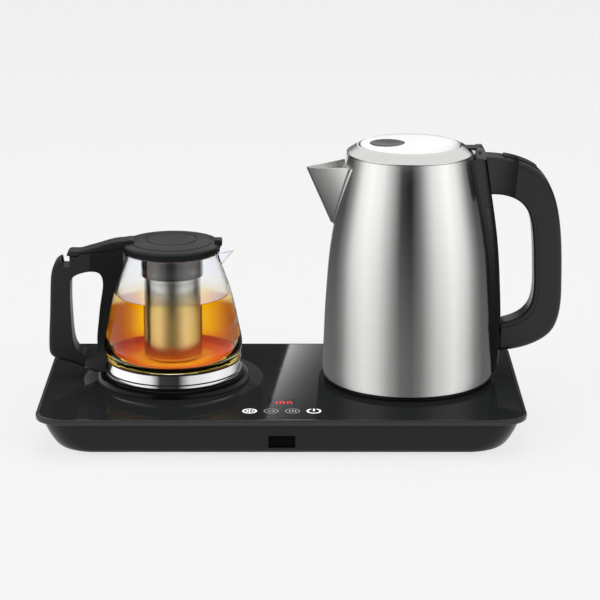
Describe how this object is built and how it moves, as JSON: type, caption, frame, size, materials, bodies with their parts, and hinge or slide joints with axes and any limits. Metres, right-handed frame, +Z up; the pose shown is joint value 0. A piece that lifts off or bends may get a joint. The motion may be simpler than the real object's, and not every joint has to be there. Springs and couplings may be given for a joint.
{
  "type": "automatic tea maker",
  "caption": "Automatic tea maker: glass-topped tray with a lift-off steel kettle and a lift-off glass teapot with infuser; both lids flip and a button opens the kettle.",
  "frame": {"origin": "middle of the tray, on the surface that the tray stands on, under the middle foot", "axes": "+X along the tray from the teapot to the kettle, +Y to the back, +Z up"},
  "size_m": [0.4567, 0.224, 0.2485],
  "materials": {
    "satin_black": "satin",
    "gloss_black": "gloss",
    "black_glass": "polished, back-printed black",
    "smoked_window": "gloss, smoked",
    "grey_plastic": "satin",
    "brushed_steel": "brushed",
    "polished_steel": "polished",
    "perforated_steel": "satin, finely perforated",
    "zinc_steel": "zinc plated",
    "aluminium": "milled",
    "brass": "plain",
    "clear_glass": "clear",
    "rubber": "matt",
    "silicone": "matt",
    "circuit_board": "solder mask",
    "component_blue": "satin",
    "ferrite": "matt",
    "can_silver": "sleeved",
    "ceramic_white": "bisque",
    "red_light": "lit",
    "white_light": "lit",
    "dim_light": "half lit"
  },
  "bodies": {
    "tray": {"base_lower_housing": "satin_black", "base_top_frame": "gloss_black", "glass_top_panel": "black_glass", "front_window": "smoked_window", "rubber_feet": "rubber", "housing_screws": "zinc_steel", "control_board": "circuit_board", "display_module": "satin_black", "display_lens": "smoked_window", "display_digits": "red_light", "touch_icons_lit": "white_light", "touch_icons_dim": "dim_light", "touch_springs": "zinc_steel", "power_board": "circuit_board", "power_relays": "component_blue", "power_transformer": "ferrite", "power_capacitors": "can_silver", "kettle_connector_post": "satin_black", "connector_contacts": "brass", "connector_nut": "satin_black", "teapot_seat_ring": "gloss_black", "warming_plate": "polished_steel", "warming_heater": "aluminium", "warming_thermostat": "ceramic_white", "thermostat_bracket": "zinc_steel", "cord_gland": "satin_black", "gland_nut": "satin_black"},
    "kettle": {"kettle_body": "brushed_steel", "kettle_spout": "brushed_steel", "kettle_filter": "perforated_steel", "kettle_top_ring": "brushed_steel", "kettle_hinge_bracket": "grey_plastic", "kettle_hinge_pin": "zinc_steel", "kettle_handle_mount": "satin_black", "kettle_water_gauge": "smoked_window", "kettle_handle": "satin_black", "kettle_handle_inner_cover": "satin_black", "kettle_button_spring": "zinc_steel", "kettle_bottom_cover": "satin_black", "kettle_socket": "satin_black", "kettle_heating_plate": "polished_steel", "kettle_heat_spreader": "aluminium", "kettle_heating_element": "aluminium", "kettle_temperature_sensor": "brass", "kettle_bottom_screws": "zinc_steel"},
    "kettle_lid": {"kettle_lid": "brushed_steel", "kettle_lid_pad": "grey_plastic", "kettle_lid_liner": "satin_black", "kettle_lid_seal": "silicone"},
    "release_button": {"kettle_release_button": "satin_black"},
    "teapot": {"teapot_glass": "clear_glass", "teapot_base_band": "polished_steel", "teapot_handle": "satin_black", "teapot_neck_ring": "satin_black", "infuser_rim": "polished_steel", "infuser_basket": "perforated_steel", "teapot_hinge_pin": "zinc_steel"},
    "teapot_lid": {"teapot_lid": "satin_black", "teapot_lid_arm": "satin_black"}
  },
  "joints": [
    {"name": "kettle_lift", "type": "slide", "parent": "tray", "child": "kettle", "axis": [0, 0, 1], "range_m": [0, 0.16]},
    {"name": "kettle_lid_hinge", "type": "hinge", "parent": "kettle", "child": "kettle_lid", "pos_m": [0.172, 0.011, 0.2415], "axis": [0, 1, 0], "range_deg": [0, 80]},
    {"name": "kettle_release_press", "type": "slide", "parent": "kettle", "child": "release_button", "axis": [0, 0, -1], "range_m": [0, 0.0025], "stiffness_N_per_m": 400, "springref_m": -0.002, "deforming": ["kettle_button_spring"]},
    {"name": "teapot_lift", "type": "slide", "parent": "tray", "child": "teapot", "axis": [0, 0, 1], "range_m": [0, 0.16]},
    {"name": "teapot_lid_hinge", "type": "hinge", "parent": "teapot", "child": "teapot_lid", "pos_m": [-0.183, 0.011, 0.1445], "axis": [0, -1, 0], "range_deg": [0, 70]}
  ]
}
